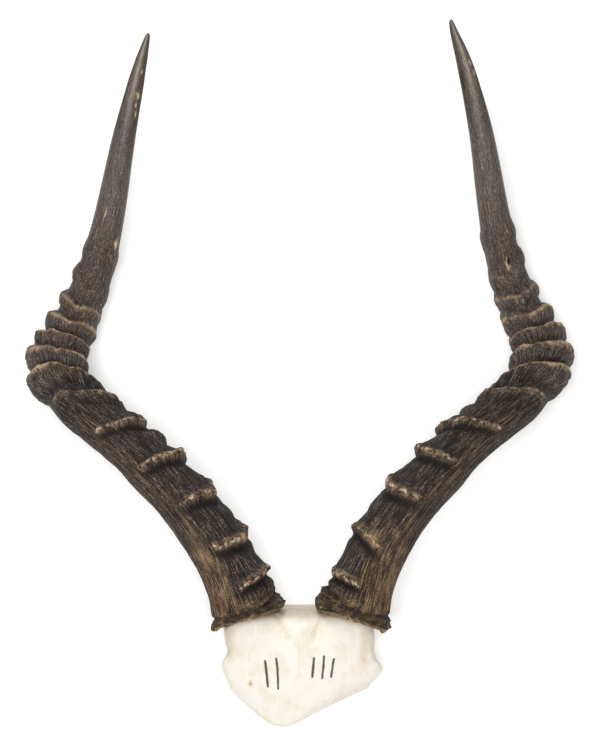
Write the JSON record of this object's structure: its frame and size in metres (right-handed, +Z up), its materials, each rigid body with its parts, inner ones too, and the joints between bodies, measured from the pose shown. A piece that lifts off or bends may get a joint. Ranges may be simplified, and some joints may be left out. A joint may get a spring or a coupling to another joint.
{
  "type": "pair of antelope horns on a skull plate",
  "caption": "Two ringed, lyre-shaped antelope horns joined by a bleached, sawn skull plate, lying face up on a flat surface.",
  "frame": {"origin": "middle of the object's footprint, on the surface it lies on", "axes": "+Y from the nose end of the skull plate to the horn tips, +Z up out of the forehead, +X to the right as seen facing the forehead with the tips up"},
  "size_m": [0.3957, 0.5055, 0.0935],
  "materials": {
    "horn_sheath": "matte",
    "bleached_bone": "matte",
    "dried_skin": "matte"
  },
  "bodies": {
    "root": {"horn_left": "horn_sheath", "horn_right": "horn_sheath", "skull_plate": "bleached_bone"}
  },
  "joints": []
}
